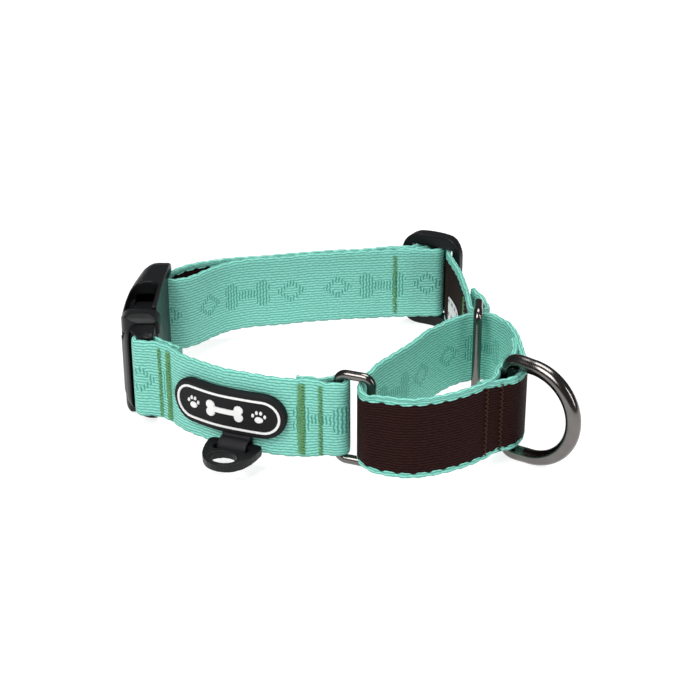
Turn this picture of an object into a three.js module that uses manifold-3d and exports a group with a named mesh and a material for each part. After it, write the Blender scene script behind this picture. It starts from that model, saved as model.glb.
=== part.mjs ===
// Martingale dog collar: a 25 mm webbing neck band with a side-release buckle, a slider, and a
// control loop that runs through two rings and carries the leash ring. Millimetres, +Z up.
// The band stands on its edge; X runs across the neck opening, Y from the front strap to the back.
import * as THREE from 'three';
import Module from 'manifold-3d';
import { mergeVertices } from 'three/addons/utils/BufferGeometryUtils.js';

const wasm = await Module();
wasm.setup();

// ---- driving dimensions -------------------------------------------------------------------
const HEIGHT = 33.4;                  // height of the rings, buckle and slider, which stand on Z = 0
const MID_Z = HEIGHT / 2;
const WEB_WIDTH = 25;
const WEB = 1.8;                      // thickness of one layer of webbing
const LAYER = 2.0;                    // pitch of two layers sewn together
const WEB_Z0 = MID_Z - WEB_WIDTH / 2;
const WEB_Z1 = MID_Z + WEB_WIDTH / 2;
const GAP = 0.3;
const BAR_R = 1.5;                    // bars that webbing folds around
const FOLD_R = BAR_R + 0.25 + WEB / 2;
const WINDOW_Z = WEB_WIDTH + 0.5;     // height of a window that webbing passes through
const RING_R = 1.4;                   // wire of the rectangular rings
const RING_HALF = 14.9;               // half their height
const SQUEEZE = 0.65;                 // how far the webbing's edges dip where it fills a ring
const CENTRE = new THREE.Vector2(-2.8, -24.9);     // middle of the collar in the plan below

// plan positions of the vertical bars
const MALE_BAR = new THREE.Vector2(-61.8, -44.5);
const FEMALE_BAR = new THREE.Vector2(-61.5, 3.2);
const RING_A_BAR = new THREE.Vector2(-3.4, -71.2);
const RING_B_BAR = new THREE.Vector2(40.4, -18.6);
const SLIDER_BAR = new THREE.Vector2(29, 30.6);
const SLIDER_TURN = -30;              // direction of the slider in plan, degrees
const D_BAR = new THREE.Vector2(46, -64.4);

const RING_A_MIDDLE = [1.4, -73.1];
const RING_B_MIDDLE = [39.9, -24.1];
const RING_B_SLID = [31.7, -29.8];    // after the martingale slide

// centrelines of the webbing in plan
const FRONT_ROUTE = [[-57.6, -47.9], [-54, -50.4], [-49, -56.1], [-42.5, -61.6], [-36.6, -65.6],
  [-29.7, -68.6], [-22.8, -70.9], [-15.9, -72.4], [-9.6, -73.2], [-5.6, -73.8]];
const BACK_ROUTE = [[-57.9, 9.4], [-55.2, 12.6], [-50.6, 15.8], [-46, 17.6], [-36, 20.4],
  [-22.5, 23.4], [-6, 26.6], [8, 29]];
const BACK_INNER_ROUTE = [[8, 26.7], [-6, 24.5], [-22.5, 21.3], [-34, 18.4], [-41.6, 15],
  [-46.8, 9.8], [-51.5, 4.4], [-55.3, 1.6]];
const SIDE_ROUTE = [[34.6, 17], [36, 9], [36.9, -1], [37.6, -13]];
const SIDE_TAIL = [[42.2, -13.5], [40.6, -9.8], [39.6, -5.8]];
const LOOP_ROUTE = [[2.9, -76.5], [4.8, -81.4], [10, -84], [16.4, -85.2], [25, -83], [33, -78.6],
  [40.5, -73], [47.7, -68.4], [50.4, -62.4], [50.4, -51], [49.6, -39], [46.8, -29.6],
  [44.4, -25.2], [41.3, -23.6], [37.4, -24.6], [31.4, -28.8], [26, -35], [22.4, -41],
  [17.8, -48.6], [12.6, -56.4], [7.4, -63.4], [4, -69.6]];
const LOOP_END_ROUTE = [[36.2, -74.6], [39.4, -71.8], [41.8, -67.6], [42.8, -63], [45.2, -58.8],
  [48.3, -53.6], [48.8, -45]];

// ---- helpers ------------------------------------------------------------------------------
const COLOURS = {
  webbing: [0x6fcfb4, 0.85, 0],
  plastic: [0x17181a, 0.45, 0],
  metal: [0x4a4644, 0.25, 1],
  rubber: [0x101012, 0.6, 0],
  white: [0xf2f2f0, 0.6, 0],
  thread: [0x5f9a4a, 0.8, 0],
  brown_thread: [0x6b4a35, 0.8, 0],
  ribbon: [0x141416, 0.9, 0],
};

// A point of the plan from an [x, y] pair.
function at(pair) {
  return new THREE.Vector2(pair[0], pair[1]);
}

// Evenly spaced points on a smooth curve through the given plan points.
function smooth(points, spacing, closed = false) {
  const through = points.map((p) => new THREE.Vector3(p.x, p.y, 0));
  const curve = new THREE.CatmullRomCurve3(through, closed, 'centripetal');
  const steps = Math.round(curve.getLength() / spacing);
  const spaced = curve.getSpacedPoints(steps).map((p) => new THREE.Vector2(p.x, p.y));
  return closed ? spaced.slice(0, -1) : spaced;
}

// Points of an arc about a bar, between two directions in degrees.
function around(bar, radius, from, to, steps = 8) {
  const points = [];
  for (let i = 0; i <= steps; i += 1) {
    const a = THREE.MathUtils.degToRad(from + ((to - from) * i) / steps);
    points.push(new THREE.Vector2(bar.x + radius * Math.cos(a), bar.y + radius * Math.sin(a)));
  }
  return points;
}

// The path moved sideways, to the left of its direction for a positive distance.
function beside(path, distance, closed = false) {
  const last = path.length - 1;
  return path.map((p, i) => {
    const before = path[closed && i === 0 ? last : Math.max(i - 1, 0)];
    const after = path[closed && i === last ? 0 : Math.min(i + 1, last)];
    const into = p.clone().sub(before).normalize();
    const out = after.clone().sub(p).normalize();
    const along = into.add(out).normalize();
    return new THREE.Vector2(p.x - along.y * distance, p.y + along.x * distance);
  });
}

// A closed three.js geometry as a solid for joining and cutting.
function solid(geometry) {
  const bare = (geometry.index ? geometry.toNonIndexed() : geometry).clone();
  bare.deleteAttribute('normal');
  bare.deleteAttribute('uv');
  const merged = mergeVertices(bare, 1e-4);
  return new wasm.Manifold(new wasm.Mesh({
    numProp: 3,
    vertProperties: new Float32Array(merged.attributes.position.array),
    triVerts: new Uint32Array(merged.index.array),
  }));
}

// The named mesh of a finished solid.
function piece(name, body, look) {
  const mesh = body.getMesh();
  const geometry = new THREE.BufferGeometry();
  geometry.setAttribute('position', new THREE.BufferAttribute(mesh.vertProperties, 3));
  geometry.setIndex(new THREE.BufferAttribute(mesh.triVerts, 1));
  geometry.computeVertexNormals();
  const [color, roughness, metalness] = COLOURS[look];
  const material = new THREE.MeshStandardMaterial({ color, roughness, metalness });
  const made = new THREE.Mesh(geometry, material);
  made.name = name;
  return made;
}

// A shape drawn in plan, standing from z0 to z1.
function standing(shape, z0, z1, curveSegments = 10) {
  const geometry = new THREE.ExtrudeGeometry(shape, {
    depth: z1 - z0, bevelEnabled: false, curveSegments,
  });
  return solid(geometry.translate(0, 0, z0));
}

// A strip between two sideways distances of a path, standing on edge.
function strip(path, left, right, z0 = WEB_Z0, z1 = WEB_Z1) {
  const outline = [...beside(path, left), ...beside(path, right).reverse()];
  return standing(new THREE.Shape(outline), z0, z1);
}

// One layer of webbing along a path.
function webbing(path) {
  return strip(path, WEB / 2, -WEB / 2);
}

// A shape drawn on a face: u along the face, v up. It is pushed through by depth each way.
function onFace(shape, centre, along, depth) {
  const u = new THREE.Vector3(along.x, along.y, 0).normalize();
  const v = new THREE.Vector3(0, 0, 1);
  const w = u.clone().cross(v);
  const geometry = new THREE.ExtrudeGeometry(shape, {
    depth: 2 * depth, bevelEnabled: false, curveSegments: 12,
  });
  geometry.translate(0, 0, -depth);
  geometry.applyMatrix4(new THREE.Matrix4().makeBasis(u, v, w).setPosition(centre));
  return solid(geometry);
}

// A rectangle with round corners about a centre.
function roundedRect(cx, cy, width, height, radius) {
  const x0 = cx - width / 2;
  const x1 = cx + width / 2;
  const y0 = cy - height / 2;
  const y1 = cy + height / 2;
  const shape = new THREE.Shape();
  shape.moveTo(x0 + radius, y0);
  shape.lineTo(x1 - radius, y0);
  shape.absarc(x1 - radius, y0 + radius, radius, -Math.PI / 2, 0);
  shape.lineTo(x1, y1 - radius);
  shape.absarc(x1 - radius, y1 - radius, radius, 0, Math.PI / 2);
  shape.lineTo(x0 + radius, y1);
  shape.absarc(x0 + radius, y1 - radius, radius, Math.PI / 2, Math.PI);
  shape.lineTo(x0, y0 + radius);
  shape.absarc(x0 + radius, y0 + radius, radius, Math.PI, 1.5 * Math.PI);
  return shape;
}

// A box from its two corners.
function block(low, high) {
  const size = high.map((value, i) => value - low[i]);
  const geometry = new THREE.BoxGeometry(...size);
  return solid(geometry.translate(...low.map((value, i) => value + size[i] / 2)));
}

// A vertical round bar.
function bar(place, radius, z0, z1) {
  const geometry = new THREE.CylinderGeometry(radius, radius, z1 - z0, 16);
  return solid(geometry.rotateX(Math.PI / 2).translate(place.x, place.y, (z0 + z1) / 2));
}

// Round wire along a run of points.
function wire(points, radius, steps) {
  const path = new THREE.CatmullRomCurve3(points, false, 'centripetal');
  const section = new THREE.Shape();
  section.absarc(0, 0, radius, 0, 2 * Math.PI);
  return solid(new THREE.ExtrudeGeometry(section, {
    steps, extrudePath: path, bevelEnabled: false, curveSegments: 5,
  }));
}

// ---- webbing straps -----------------------------------------------------------------------
// A path made of arcs about bars, kept as they are, and of plan points smoothed in between.
function threaded(parts) {
  const path = [];
  parts.forEach((part, i) => {
    if (part.arc) {
      path.push(...part.arc);
      return;
    }
    const before = i > 0 ? [parts[i - 1].arc.at(-1)] : [];
    const after = i < parts.length - 1 ? [parts[i + 1].arc[0]] : [];
    const run = smooth([...before, ...part.through, ...after], 2.4);
    path.push(...run.slice(before.length, run.length - after.length));
  });
  return path;
}

// The path of the front strap: folded back behind itself at the buckle and at the small ring.
function frontPath() {
  const outer = smooth(FRONT_ROUTE.map(at), 2);
  const inner = beside(outer, LAYER);
  return threaded([
    { through: inner.slice(3, 5).reverse() },
    { arc: around(MALE_BAR, FOLD_R, 62, 236, 12) },
    { through: outer },
    { arc: around(RING_A_BAR, FOLD_R, 272, 462, 12) },
    { through: inner.slice(-6, -2).reverse() },
  ]);
}

// A plan point from a place on the slider: u along it, w away from the neck.
function onSlider(u, w) {
  const turn = THREE.MathUtils.degToRad(SLIDER_TURN);
  return new THREE.Vector2(u, w).rotateAround(new THREE.Vector2(), turn).add(SLIDER_BAR);
}

// The inner layer of the adjusting strap, from the slider's bar to the buckle.
function innerRoute() {
  return [onSlider(-3.2, -5.2), onSlider(-6.4, -7.6), onSlider(-10, -9.8), onSlider(-14, -12),
    ...BACK_INNER_ROUTE.map(at)];
}

// The adjusting strap: its end is sewn round the slider's bar, then it runs to the buckle, round
// the buckle's bar, back through the slider and on to the second small ring.
function adjustPath() {
  const tab = [onSlider(-14.5, -9.6), onSlider(-10, -7.5), onSlider(-6.2, -5.3),
    onSlider(-3.9, -2.6)];
  const over = [onSlider(-11.8, -7), onSlider(-7.7, -4), onSlider(-5.4, -0.6)];
  return threaded([
    { through: tab },
    { arc: around(SLIDER_BAR, FOLD_R, 136, -74, 14) },
    { through: innerRoute() },
    { arc: around(FEMALE_BAR, FOLD_R, 285, 85, 12) },
    { through: [...BACK_ROUTE.map(at), ...over] },
    { arc: around(SLIDER_BAR, 4.8, 118, -6, 9) },
    { through: [onSlider(7.5, -4), ...SIDE_ROUTE.map(at)] },
    { arc: around(RING_B_BAR, FOLD_R, 170, 375, 14) },
    { through: SIDE_TAIL.map(at) },
  ]);
}

// Webbing squeezed by a ring of the given middles: both its edges dip inside the ring.
function squeezed(body, ...middles) {
  return middles.reduce((left, [x, y]) => {
    const cup = (z, turn) => solid(new THREE.CylinderGeometry(16, 8, 2 * SQUEEZE, 32)
      .rotateX(turn).translate(x, y, z));
    return left.subtract(cup(WEB_Z1, Math.PI / 2)).subtract(cup(WEB_Z0, -Math.PI / 2));
  }, body);
}

// The control loop: a closed band with its end sewn inside it, which traps the leash ring's bar.
function controlLoop() {
  const middle = smooth(LOOP_ROUTE.map(at), 2.5, true);
  const outer = new THREE.Shape(beside(middle, -WEB / 2, true));
  outer.holes.push(new THREE.Path(beside(middle, WEB / 2, true)));
  const band = standing(outer, WEB_Z0, WEB_Z1);
  const whole = band.add(webbing(smooth(LOOP_END_ROUTE.map(at), 2)));
  return squeezed(whole, RING_A_MIDDLE, RING_B_MIDDLE, RING_B_SLID, [47.5, -66]);
}

// A flat piece laid on a strap's face: the drawn shape kept within a skin along the path.
function laidOn(path, near, far, shape, index, height) {
  const face = strip(path, near, far, 0, HEIGHT);
  const side = Math.sign(near + far);
  const p = path[index];
  const along = path[index + 1].clone().sub(path[index - 1]).multiplyScalar(-side);
  const centre = new THREE.Vector3(p.x, p.y, height);
  return face.intersect(onFace(shape, centre, along, 8));
}

// The index of the path point nearest to a plan point.
function nearest(path, place) {
  const far = path.map((p) => p.distanceTo(place));
  return far.indexOf(Math.min(...far));
}

// A bar tack: a dense row of thread across the strap, standing off the face by one gap.
function tack(path, place, side, width, height) {
  const face = side * (WEB / 2 + GAP);
  const shape = roundedRect(0, 0, width, height, width / 3);
  return laidOn(path, face, face + side * 0.5, shape, nearest(path, at(place)), MID_Z);
}

// ---- side-release buckle ------------------------------------------------------------------
const MOUTH = -31.2;                  // where the two halves meet
const CAVITY = [-68, -61];            // the socket's inside, in X
const PRONG_ROOT = -39;
const PRONG_INNER = 27.2;             // underside of the upper squeeze pad
const PRONG_X = -64.5;
const BOW_STEPS = 24;                 // facets along each bowed face of the slider

// Sections of each half: Y, outer X, neck-side X, half height, radius of the outer edges.
const SOCKET_SECTIONS = [[MOUTH, -70.2, -59, 16.7, 6], [-26, -70.7, -59.1, 16.7, 6],
  [-19, -70.9, -59.2, 16.7, 6], [-12, -70.7, -59.2, 16.7, 6], [-6, -70.1, -59.1, 16.7, 6],
  [-1, -69.3, -58.9, 16.7, 5.8], [3, -68.5, -58.7, 16.7, 5.4], [5.8, -67.7, -58.6, 16.3, 5],
  [7.6, -66.9, -58.6, 15.4, 4.4], [8.5, -65.9, -58.9, 13.9, 3.6]];
const PLUG_SECTIONS = [[-46.8, -61.2, -58.6, 13.4, 1.2], [-45.9, -63.2, -58.4, 14, 2.4],
  [-44.6, -65, -58.4, 14.3, 3.4], [-43, -66.5, -58.4, 14.3, 4.4], [-41, -67.9, -58.5, 14.3, 5],
  [-38.4, -69.1, -58.6, 14.3, 5], [-35.2, -69.8, -58.8, 14.3, 5]];

// The solid through a row of upright sections, each round at its outer corners.
function lofted(sections) {
  const steps = 6;
  const rings = sections.map(([y, x0, x1, half, radius]) => {
    const ring = [];
    const corner = (cx, cz, r, from) => {
      for (let i = 0; i <= steps; i += 1) {
        const a = THREE.MathUtils.degToRad(from + (90 * i) / steps);
        ring.push([cx + r * Math.cos(a), y, cz + r * Math.sin(a)]);
      }
    };
    const small = 0.7;
    corner(x1 - small, MID_Z + half - small, small, 0);
    corner(x0 + radius, MID_Z + half - radius, radius, 90);
    corner(x0 + radius, MID_Z - half + radius, radius, 180);
    corner(x1 - small, MID_Z - half + small, small, 270);
    return ring;
  });
  const count = rings[0].length;
  const index = [];
  for (let r = 0; r + 1 < rings.length; r += 1) {
    for (let c = 0; c < count; c += 1) {
      const [a, b] = [r * count + c, r * count + ((c + 1) % count)];
      index.push(a, a + count, b, b, a + count, b + count);
    }
  }
  const last = (rings.length - 1) * count;
  for (let c = 1; c + 1 < count; c += 1) {
    index.push(0, c, c + 1, last, last + c + 1, last + c);
  }
  const geometry = new THREE.BufferGeometry();
  geometry.setAttribute('position', new THREE.Float32BufferAttribute(rings.flat(2), 3));
  return solid(geometry.setIndex(index));
}

// The solid of an outline in Y and Z, reaching depth each way from a place in X.
function across(points, x, depth) {
  const shape = new THREE.Shape(points.map(([y, z]) => new THREE.Vector2(y, z)));
  return onFace(shape, new THREE.Vector3(x, 0, 0), new THREE.Vector2(0, 1), depth);
}

// The same solid on the other edge of the collar.
function mirrored(body) {
  return body.mirror([0, 0, 1]).translate([0, 0, HEIGHT]);
}

// The window beside a bar, open towards the neck and past the strap end.
function strapWindow(y0, y1) {
  const half = WINDOW_Z / 2;
  return block([-66.4, y0, MID_Z - half], [-50, y1, MID_Z + half]);
}

function buckleMale() {
  const window = strapWindow(-60, MALE_BAR.y + FOLD_R + 1.3);
  const half = WINDOW_Z / 2;
  const thin = block([-80, -60, MID_Z - half], [-66, -42.4, MID_Z + half]);
  const above = block([-80, PRONG_ROOT - GAP, PRONG_INNER - 1.2], [-50, 0, HEIGHT + 1]);
  const tongue = block([-66.4, -37, 13.2], [-62.6, -12, 20.2]);
  return lofted(PLUG_SECTIONS).subtract(window).subtract(thin)
    .subtract(above).subtract(mirrored(above))
    .add(bar(MALE_BAR, BAR_R, 3.2, HEIGHT - 3.2)).add(tongue);
}

// The upper squeeze prong: a wide pad outside the mouth, a barb behind the catch bar.
function prong() {
  const [y0, y1] = [PRONG_ROOT, MOUTH - 0.6];
  const padPlan = new THREE.Shape();
  padPlan.moveTo(-57.8, y1);
  padPlan.lineTo(-69.6, y1);
  padPlan.quadraticCurveTo(-70.4, y0 + 0.4, -64, y0);
  padPlan.lineTo(-59.4, y0);
  padPlan.quadraticCurveTo(-57.3, y0 + 0.2, -57.2, y0 + 2.6);
  const padSide = [[y0, PRONG_INNER], [y1, PRONG_INNER], [y1, 32.4], [y1 - 0.7, 33.1],
    [y1 - 1.8, 33.3], [y0 + 2.8, 33.3], [y0 + 1, 32.6], [y0, 31.2]];
  const padEnd = roundedRect(-63.7, PRONG_INNER, 13, 12.2, 4.4);
  const pad = standing(padPlan, 20, HEIGHT).intersect(across(padSide, -63.7, 8))
    .intersect(onFace(padEnd, new THREE.Vector3(0, y0, 0), new THREE.Vector2(1, 0), 12));
  const arm = [[-34.2, 24.5], [-12, 24.5], [-12, 26.8], [-26, 30.3], [-28.6, 30.3],
    [-28.6, 28.4], [-34.2, 28.4]];
  return pad.add(across(arm, PRONG_X, 3.1));
}

// The slot that the barb shows through, with round corners at its blind end.
function sideSlot(z0, z1) {
  return standing(roundedRect(-65, -22, 9, 22, 3.2), z0, z1)
    .subtract(block([-80, -40, z0 - 1], [-50, MOUTH + 2.1, z1 + 1]));
}

function buckleFemale() {
  const socket = block([CAVITY[0], MOUTH - 1, 4.6], [CAVITY[1], -4.4, HEIGHT - 4.6]);
  const slot = sideSlot(HEIGHT - 6, HEIGHT + 1);
  const notch = block([-69.5, MOUTH - 1, 30.8], [-60.5, MOUTH + 3, HEIGHT + 1]);
  const window = strapWindow(FEMALE_BAR.y - FOLD_R - 1.3, 20);
  return lofted(SOCKET_SECTIONS).subtract(socket)
    .subtract(slot).subtract(mirrored(slot))
    .subtract(notch).subtract(mirrored(notch)).subtract(window)
    .add(bar(FEMALE_BAR, BAR_R, 2, HEIGHT - 2));
}

// ---- slider -------------------------------------------------------------------------------
const SLIDER_HALF = 11;
const SLIDER_SLOT = 7.7;

// A bowed plate with two windows and a middle bar, drawn along X and then turned into place.
function slider() {
  const shape = new THREE.Shape();
  shape.moveTo(-SLIDER_HALF, -3);
  shape.quadraticCurveTo(0, 0, SLIDER_HALF, -3);
  shape.lineTo(SLIDER_HALF, -0.2);
  shape.quadraticCurveTo(0, 7, -SLIDER_HALF, -0.2);
  const outline = roundedRect(0, MID_Z, 2 * SLIDER_HALF, HEIGHT, 6);
  const face = onFace(outline, new THREE.Vector3(), new THREE.Vector2(1, 0), 12);
  const plate = standing(shape, 0, HEIGHT, BOW_STEPS).intersect(face);
  const half = WINDOW_Z / 2;
  const window = block([-SLIDER_SLOT, -20, MID_Z - half], [SLIDER_SLOT, 20, MID_Z + half]);
  const rails = plate.subtract(window);
  const joined = rails.add(bar(new THREE.Vector2(0, 0), BAR_R - 0.1, 2.4, HEIGHT - 2.4));
  return joined.rotate([0, 0, SLIDER_TURN]).translate([SLIDER_BAR.x, SLIDER_BAR.y, 0]);
}

// ---- rings --------------------------------------------------------------------------------
// A rectangular wire ring in a vertical plane, from its first bar to its second.
function squareRing(first, second) {
  const r = RING_R;
  const length = first.distanceTo(second);
  const corner = 2.6;
  const low = MID_Z - RING_HALF + r;
  const high = MID_Z + RING_HALF - r;
  const arc = (cx, cz, from) => {
    const points = [];
    for (let i = 0; i <= 4; i += 1) {
      const a = THREE.MathUtils.degToRad(from - (90 * i) / 4);
      points.push(new THREE.Vector3(cx + corner * Math.cos(a), 0, cz + corner * Math.sin(a)));
    }
    return points;
  };
  const run = [new THREE.Vector3(0, 0, MID_Z + 2), new THREE.Vector3(0, 0, MID_Z + 6),
    ...arc(corner, high - corner, 180), ...arc(length - corner, high - corner, 90),
    new THREE.Vector3(length, 0, MID_Z), ...arc(length - corner, low + corner, 0),
    ...arc(corner, low + corner, -90), new THREE.Vector3(0, 0, MID_Z - 6),
    new THREE.Vector3(0, 0, MID_Z - 2)];
  const weld = bar(new THREE.Vector2(0, 0), r + 0.03, MID_Z - 4, MID_Z + 4);
  const turn = THREE.MathUtils.radToDeg(Math.atan2(second.y - first.y, second.x - first.x));
  return wire(run, r, 60).add(weld).rotate([0, 0, turn]).translate([first.x, first.y, 0]);
}

const D_TURN = -37.5;                 // direction of the leash ring in plan, degrees

// The leash ring: a straight bar and a round bow.
function dRing() {
  const r = 2.25;
  const bow = HEIGHT / 2 - r - 0.1;
  const reach = 7.2;
  const arc = [];
  for (let i = 0; i <= 12; i += 1) {
    const a = Math.PI / 2 - (Math.PI * i) / 12;
    arc.push(new THREE.Vector3(reach + bow * Math.cos(a), 0, MID_Z + bow * Math.sin(a)));
  }
  const run = [new THREE.Vector3(0, 0, MID_Z + 2), new THREE.Vector3(0, 0, MID_Z + 8),
    new THREE.Vector3(0.1, 0, MID_Z + bow - 1.5), new THREE.Vector3(1.6, 0, MID_Z + bow - 0.05),
    ...arc, new THREE.Vector3(1.6, 0, MID_Z - bow + 0.05),
    new THREE.Vector3(0.1, 0, MID_Z - bow + 1.5), new THREE.Vector3(0, 0, MID_Z - 8),
    new THREE.Vector3(0, 0, MID_Z - 2)];
  const weld = bar(new THREE.Vector2(0, 0), r + 0.03, MID_Z - 4, MID_Z + 4);
  return wire(run, r, 60).add(weld).rotate([0, 0, D_TURN]).translate([D_BAR.x, D_BAR.y, 0]);
}

// ---- tag ring and its ribbon --------------------------------------------------------------
const TAG_PLACE = [-32.2, -67.6];
const TAG_PIVOT_Z = 6.7;
const TAG_OUT = 3.9;                  // how far the pivot stands off the strap's centreline
const TAG_SLOPE = -4;                 // the ring's lean below level, degrees

// Moves a solid drawn with x along the strap, y outwards and z up to the tag's place.
function toTag(body) {
  const path = frontPath();
  const i = nearest(path, at(TAG_PLACE));
  const along = path[i + 1].clone().sub(path[i - 1]).normalize();
  const turn = THREE.MathUtils.radToDeg(Math.atan2(along.y, along.x));
  return body.rotate([0, 0, turn]).translate([path[i].x, path[i].y, 0]);
}

// The ribbon in section: two layers down from under the patch and a loop about the ring's bar.
function tagRibbon() {
  const inner = 2.3;
  const thick = 0.6;
  const loop = new THREE.Vector2(-TAG_OUT, TAG_PIVOT_Z);
  const ring = new THREE.Shape(around(loop, inner + thick, 0, 345, 23));
  ring.holes.push(new THREE.Path(around(loop, inner, 0, 345, 23).reverse()));
  const neck = roundedRect(-1.9, 10.7, 1.3, 4.2, 0.2);
  const depth = 9;
  const stand = (shape) => {
    const geometry = new THREE.ExtrudeGeometry(shape, {
      depth, bevelEnabled: false, curveSegments: 4,
    });
    geometry.translate(0, 0, -depth / 2);
    const basis = new THREE.Matrix4().makeBasis(
      new THREE.Vector3(0, 1, 0), new THREE.Vector3(0, 0, 1), new THREE.Vector3(1, 0, 0),
    );
    return solid(geometry.applyMatrix4(basis));
  };
  return toTag(stand(ring).add(stand(neck)));
}

// A flat plastic ring with a bar for the ribbon and an oval eye for a tag.
function tagRing() {
  const shape = new THREE.Shape();
  shape.moveTo(-6.8, -1.3);
  shape.lineTo(6.8, -1.3);
  shape.quadraticCurveTo(8.5, -1.2, 8.4, 0.8);
  shape.bezierCurveTo(8, 7.6, 5.6, 11.9, 0, 12.1);
  shape.bezierCurveTo(-5.6, 11.9, -8, 7.6, -8.4, 0.8);
  shape.quadraticCurveTo(-8.5, -1.2, -6.8, -1.3);
  const slot = roundedRect(0, 2.75, 11, 2.9, 1);
  const eye = new THREE.Path();
  eye.absellipse(0, 7.8, 4.1, 3, 0, 2 * Math.PI, true);
  shape.holes.push(slot, eye);
  const geometry = new THREE.ExtrudeGeometry(shape, {
    depth: 2.6, bevelEnabled: false, curveSegments: 8,
  });
  geometry.translate(0, 0, -1.3).rotateZ(Math.PI);
  const plate = solid(geometry).rotate([-TAG_SLOPE, 0, 0]);
  return toTag(plate.translate([0, -TAG_OUT, TAG_PIVOT_Z]));
}

// ---- patch --------------------------------------------------------------------------------
const PATCH_PLACE = [-34.6, -66.6];
const PATCH = { length: 36.5, height: 13.8, thick: 2.4, z: MID_Z + 0.4 };

function patchLayer(shape, near, far) {
  return laidOn(front, -(WEB / 2 + near), -(WEB / 2 + far), shape,
    nearest(front, at(PATCH_PLACE)), PATCH.z);
}

function pill(inset) {
  const height = PATCH.height - 2 * inset;
  return roundedRect(0, 0, PATCH.length - 2 * inset, height, height / 2 - 0.01);
}

function patchBase() {
  const recess = toTag(block([-5, -3, 6], [5, 0, 13.4]));
  return patchLayer(pill(0), GAP, GAP + PATCH.thick).subtract(recess);
}

function patchBorder() {
  const shape = pill(1.6);
  shape.holes.push(pill(2.4));
  return patchLayer(shape, PATCH.thick + 2 * GAP, PATCH.thick + 2 * GAP + 0.5);
}

// A plain dog bone.
function patchIcon() {
  const shape = new THREE.Shape();
  shape.moveTo(-3.6, -0.95);
  shape.lineTo(3.6, -0.95);
  shape.absarc(5.1, -1.35, 1.55, Math.PI, 2.35 * Math.PI);
  shape.absarc(5.1, 1.35, 1.55, -0.35 * Math.PI, Math.PI);
  shape.lineTo(-3.6, 0.95);
  shape.absarc(-5.1, 1.35, 1.55, 0, 1.35 * Math.PI);
  shape.absarc(-5.1, -1.35, 1.55, 0.65 * Math.PI, 2 * Math.PI);
  return patchLayer(shape, PATCH.thick + 2 * GAP, PATCH.thick + 2 * GAP + 0.5);
}

// ---- assembly -----------------------------------------------------------------------------
const front = smooth(FRONT_ROUTE.map(at), 2);
const adjust = adjustPath();
const loopPath = smooth(LOOP_ROUTE.map(at), 2.5, true);
const side = smooth(SIDE_ROUTE.map(at), 2);

const collar = new THREE.Group();
collar.add(
  piece('front_strap', squeezed(webbing(frontPath()), RING_A_MIDDLE), 'webbing'),
  piece('adjust_strap', squeezed(webbing(adjust), RING_B_MIDDLE), 'webbing'),
  piece('control_loop', controlLoop(), 'webbing'),
  piece('buckle_male', buckleMale(), 'plastic'),
  piece('buckle_prong_upper', prong(), 'plastic'),
  piece('buckle_prong_lower', mirrored(prong()), 'plastic'),
  piece('buckle_female', buckleFemale(), 'plastic'),
  piece('slider', slider(), 'plastic'),
  piece('ring_a', squareRing(RING_A_BAR, at([6.1, -75])), 'metal'),
  piece('ring_b', squareRing(RING_B_BAR, at([39.3, -29.6])), 'metal'),
  piece('d_ring', dRing(), 'metal'),
  piece('tag_ribbon', tagRibbon(), 'ribbon'),
  piece('tag_ring', tagRing(), 'plastic'),
  piece('patch', patchBase(), 'rubber'),
  piece('patch_border', patchBorder(), 'white'),
  piece('patch_icon', patchIcon(), 'white'),
  piece('care_label', laidOn(side, -(WEB / 2 + GAP), -(WEB / 2 + GAP + 0.4),
    roundedRect(0, 0, 15, 12, 0.4), 4, MID_Z - 6.2), 'white'),
  piece('tack_buckle_narrow', tack(front, [-56.4, -48.6], -1, 1.4, 22), 'thread'),
  piece('tack_buckle_wide', tack(front, [-53, -51.3], -1, 2.8, 22), 'thread'),
  piece('tack_ring_a_wide', tack(front, [-14, -72.6], -1, 2.6, 22), 'thread'),
  piece('tack_ring_a_narrow', tack(front, [-8.2, -73.3], -1, 1.4, 22), 'thread'),
  piece('tack_slider_fold', tack(smooth(innerRoute(), 2), [15.6, 27.2], 1, 1.6, 22),
    'thread'),
  piece('tack_ring_b', tack(side, [37.2, -8.5], -1, 1.6, 22), 'thread'),
  piece('tack_loop_left', tack(loopPath, [38.2, -74.6], -1, 1.2, 22), 'brown_thread'),
  piece('tack_loop_right', tack(loopPath, [42.4, -71.4], -1, 1.2, 22), 'brown_thread'),
);
collar.position.set(-CENTRE.x, -CENTRE.y, 0);

export default collar;
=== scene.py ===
"""Looks of a martingale dog collar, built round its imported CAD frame. Metres, +Z up."""

import math
import random

import bmesh
import bpy
import numpy as np
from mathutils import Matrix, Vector


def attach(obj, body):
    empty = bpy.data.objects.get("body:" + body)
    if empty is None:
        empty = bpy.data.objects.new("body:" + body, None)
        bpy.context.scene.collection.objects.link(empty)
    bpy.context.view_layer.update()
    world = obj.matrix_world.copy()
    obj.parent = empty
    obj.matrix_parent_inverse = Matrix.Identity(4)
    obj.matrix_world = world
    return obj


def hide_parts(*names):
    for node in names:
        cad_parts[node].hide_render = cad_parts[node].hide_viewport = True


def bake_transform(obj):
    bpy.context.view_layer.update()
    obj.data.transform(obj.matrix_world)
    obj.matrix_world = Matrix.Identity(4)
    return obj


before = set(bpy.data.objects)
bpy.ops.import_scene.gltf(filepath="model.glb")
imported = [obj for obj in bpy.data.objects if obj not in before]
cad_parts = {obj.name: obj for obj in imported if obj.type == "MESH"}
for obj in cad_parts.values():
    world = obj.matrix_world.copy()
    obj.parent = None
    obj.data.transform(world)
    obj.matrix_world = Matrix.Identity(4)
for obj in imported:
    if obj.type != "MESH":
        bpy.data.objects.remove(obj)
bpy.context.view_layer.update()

# ---- driving dimensions ----------------------------------------------------------------------
MM = 0.001
HEIGHT = 33.4 * MM  # of the leash ring, buckle and slider
MID_Z = HEIGHT / 2
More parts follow.
